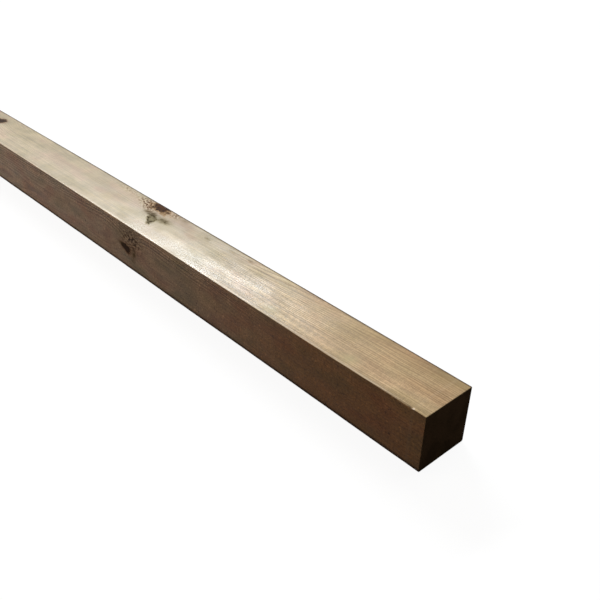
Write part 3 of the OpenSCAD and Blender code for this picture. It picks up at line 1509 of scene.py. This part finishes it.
@dataclass(frozen=True)
class Lamp:
    """An oblong soft light.

    Attributes:
        name: what it stands for.
        place: where it hangs.
        aim: the point it faces.
        width: its level side.
        height: its other side.
        radiance: brightness of its face.
        tint: its colour.
    """

    name: str
    place: tuple[float, float, float]
    aim: tuple[float, float, float]
    width: float
    height: float
    radiance: float
    tint: tuple[float, float, float]

    def hang(self) -> None:
        """Add the light. Its watts are four times its area times its radiance."""
        data = bpy.data.lights.new(self.name, "AREA")
        data.shape = "RECTANGLE"
        data.size = self.width
        data.size_y = self.height
        data.energy = 4.0 * self.width * self.height * self.radiance
        data.color = self.tint
        lamp = bpy.data.objects.new(self.name, data)
        back = np.array(self.place) - np.array(self.aim)
        back = back / np.linalg.norm(back)
        right = np.cross([0.0, 0.0, 1.0], back)
        right = right / np.linalg.norm(right)
        lamp.matrix_world = stood(self.place, right, np.cross(back, right), back)
        lamp.visible_camera = False
        bpy.context.scene.collection.objects.link(lamp)


@dataclass(frozen=True)
class Studio:
    """The pale floor, the soft light and the camera.

    Attributes:
        azimuth: bearing of the view in degrees; at 0 it looks along +Y.
        elevation: how far it looks down, in degrees.
        roll: how far the camera is turned about its view, in degrees.
        eye: where the camera stands.
        focal: its focal length in pixels of the picture.
        picture: width of the picture in pixels.
        sensor: width of the camera's sensor in millimetres.
        floor_side: side of the floor.
        floor_gap: how far the floor lies below the post.
        floor_glow: how much of the floor's white is its own.
        floor_albedo: how much of the light that falls on it the floor returns.
        ambient: brightness of the world for the light that it sheds.
        lamps: the soft lights.
    """

    azimuth: float = 46.5956
    elevation: float = 32.0167
    roll: float = 1.8180
    eye: tuple[float, float, float] = (1.236716, -0.531869, 0.571982)
    focal: float = 771.61
    picture: float = 600.0
    sensor: float = 36.0
    floor_side: float = 40.0
    floor_gap: float = 0.2 * MM
    floor_glow: float = 0.93
    floor_albedo: float = 0.09
    ambient: float = 0.05
    lamps: tuple[Lamp, ...] = (
        Lamp("window", (-4.85, 2.676, 4.0), (0.5, 0.0, 0.075), 3.3, 0.4, 104.0, (0.945, 1.0, 1.05)),
        Lamp("curtain", (-3.95, 4.46, 4.0), (0.5, 0.0, 0.075), 0.7, 0.4, 40.0, (0.945, 1.0, 1.05)),
        Lamp("sky", (0.75, 0.9, 2.3), (0.7, 0.0, 0.075), 1.4, 1.4, 3.2, (1.02, 1.0, 0.97)),
        Lamp("room", (-0.8, -1.6, 1.0), (0.4, -0.04, 0.04), 1.2, 1.2, 2.9, (1.0, 0.78, 0.6)),
    )

    def stand_camera(self) -> None:
        """Stand the camera at the view's angle.

        Its back axis follows the azimuth and elevation, its right axis is level, and both its right
        and its up axis are then turned by the roll.
        """
        azimuth, elevation, roll = np.radians([self.azimuth, self.elevation, self.roll])
        level = math.cos(elevation)
        back = np.array([math.sin(azimuth) * level, -math.cos(azimuth) * level, math.sin(elevation)])
        right = np.array([math.cos(azimuth), math.sin(azimuth), 0.0])
        up = np.cross(back, right)
        rolled_right = math.cos(roll) * right + math.sin(roll) * up
        rolled_up = math.cos(roll) * up - math.sin(roll) * right
        data = bpy.data.cameras.new("view")
        data.sensor_width = self.sensor
        data.lens = self.focal / self.picture * self.sensor
        camera = bpy.data.objects.new("view", data)
        camera.matrix_world = stood(self.eye, rolled_right, rolled_up, back)
        bpy.context.scene.collection.objects.link(camera)
        bpy.context.scene.camera = camera

    def seen(self, graph: Graph) -> Socket:
        """Give 1 to rays that come from the camera, a gloss or a glass, and 0 to the rest."""
        path = graph.node("LightPath").outputs
        seen = graph.plus(path["Is Camera Ray"], path["Is Glossy Ray"])
        seen = graph.plus(seen, path["Is Transmission Ray"])
        return graph.sum("MINIMUM", seen, 1.0)

    def lay_floor(self) -> None:
        """Lay the floor: it glows white where it is seen, and keeps the post's shadow."""
        material, graph = new_material("pale_floor")
        material.cycles.emission_sampling = "NONE"
        strength = graph.times(self.seen(graph), self.floor_glow)
        glow = graph.node("Emission", {"Strength": strength})
        matt = graph.node("BsdfDiffuse", {"Color": grey(self.floor_albedo)})
        both = graph.node("AddShader", {0: glow.outputs[0], 1: matt.outputs[0]})
        graph.node("OutputMaterial", {"Surface": both.outputs[0]})
        mesh = bpy.data.meshes.new("floor")
        reach = self.floor_side / 2
        level = float(LOW[2]) - self.floor_gap
        around = ((-reach, -reach), (reach, -reach), (reach, reach), (-reach, reach))
        corners = [(x, y, level) for x, y in around]
        mesh.from_pydata(corners, [], [(0, 1, 2, 3)])
        mesh.materials.append(material)
        floor = bpy.data.objects.new("floor", mesh)
        bpy.context.scene.collection.objects.link(floor)

    def light(self) -> None:
        """Hang the lamps and set the world: white where it is seen, dim in the light that it sheds."""
        for lamp in self.lamps:
            lamp.hang()
        world = bpy.data.worlds.new("studio")
        world.use_nodes = True
        bpy.context.scene.world = world
        graph = Graph(world.node_tree)
        share = self.seen(graph)
        strength = graph.plus(self.ambient, graph.times(share, 1.0 - self.ambient))
        background = graph.node("Background", {"Color": grey(1.0), "Strength": strength})
        graph.node("OutputWorld", {"Surface": background.outputs[0]})

    def set_up(self) -> None:
        """Set the view transform, then the camera, the floor and the light."""
        bpy.context.scene.view_settings.view_transform = "Standard"
        self.stand_camera()
        self.lay_floor()
        self.light()


def main() -> None:
    """Build the post, dress it and set up the studio."""
    logging.basicConfig(level=logging.INFO, format="%(name)s: %(message)s")
    sawn = SawnPost()
    post = sawn.build()
    sawn.dress(post)
    triangles = sum(len(face.vertices) - 2 for face in post.data.polygons)
    log.info("%s: %d points, %d triangles", post.name, len(post.data.vertices), triangles)
    studio = Studio()
    studio.set_up()
    log.info("studio: floor, %d lamps and camera", len(studio.lamps))


if __name__ == "__main__":
    main()
